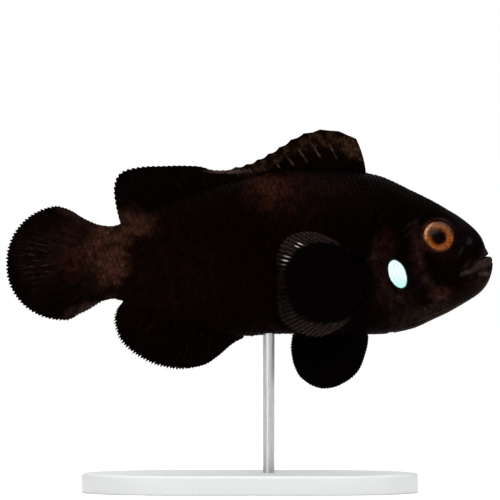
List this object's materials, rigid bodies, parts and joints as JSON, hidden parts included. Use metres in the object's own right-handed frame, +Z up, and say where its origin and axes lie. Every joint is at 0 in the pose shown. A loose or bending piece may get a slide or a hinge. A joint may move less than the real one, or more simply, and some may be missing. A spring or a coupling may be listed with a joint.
{
  "type": "clownfish",
  "caption": "Life-size still model of a black clownfish with a white gill-cover spot, fins spread, held by one rod on a flat display base.",
  "frame": {"origin": "centre of the underside of the stand's base, under the middle of the fish's length", "axes": "+Z up, +X towards the fish's snout, -Y out of its right flank"},
  "size_m": [0.075, 0.0304, 0.0561],
  "materials": {
    "skin": "black-brown scaled skin with a soft wet sheen, one white spot on each gill cover",
    "brown_fin": "dark brown spiny fin with black tips",
    "black_fin": "black rayed fin, satin",
    "eye": "orange iris round a dark pupil, under a clear gloss",
    "stand_base": "pale satin acrylic",
    "stand_rod": "brushed along its length"
  },
  "bodies": {
    "root": {"head": "skin", "lower_jaw": "skin", "gill_cover_right": "skin", "gill_cover_left": "skin", "trunk": "skin", "tail": "skin", "tail_stalk": "skin", "eye_right": "eye", "eye_left": "eye", "dorsal_fin_spiny": "brown_fin", "dorsal_fin_soft": "black_fin", "anal_fin": "black_fin", "tail_fin": "black_fin", "pectoral_fin_right": "black_fin", "pectoral_fin_left": "black_fin", "pelvic_fin_right": "black_fin", "pelvic_fin_left": "black_fin", "stand_base": "stand_base", "stand_rod": "stand_rod"}
  },
  "joints": []
}
